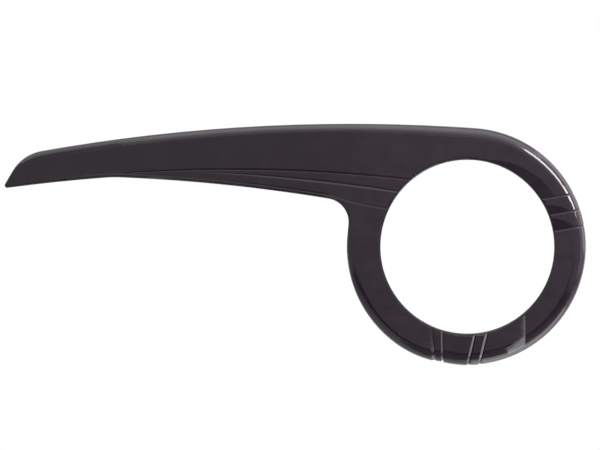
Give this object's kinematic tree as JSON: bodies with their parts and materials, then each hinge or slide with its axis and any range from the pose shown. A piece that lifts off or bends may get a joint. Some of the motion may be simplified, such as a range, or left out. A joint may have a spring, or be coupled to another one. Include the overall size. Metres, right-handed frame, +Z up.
{
  "type": "bicycle chain guard",
  "caption": "Moulded bicycle chain guard: a ring around the chainring and a long tapering arm over the upper chain run, closed in front, open at the back.",
  "frame": {"origin": "crank axis, in the plane where the bracket seats on the ends of the screw bosses", "axes": "+X forward along the bicycle, +Z up, the closed face looks along -Y and the open back along +Y"},
  "size_m": [0.5021, 0.0256, 0.2088],
  "materials": {
    "shell": "gloss black moulded plastic"
  },
  "bodies": {
    "root": {"chain_guard": "shell"}
  },
  "joints": []
}
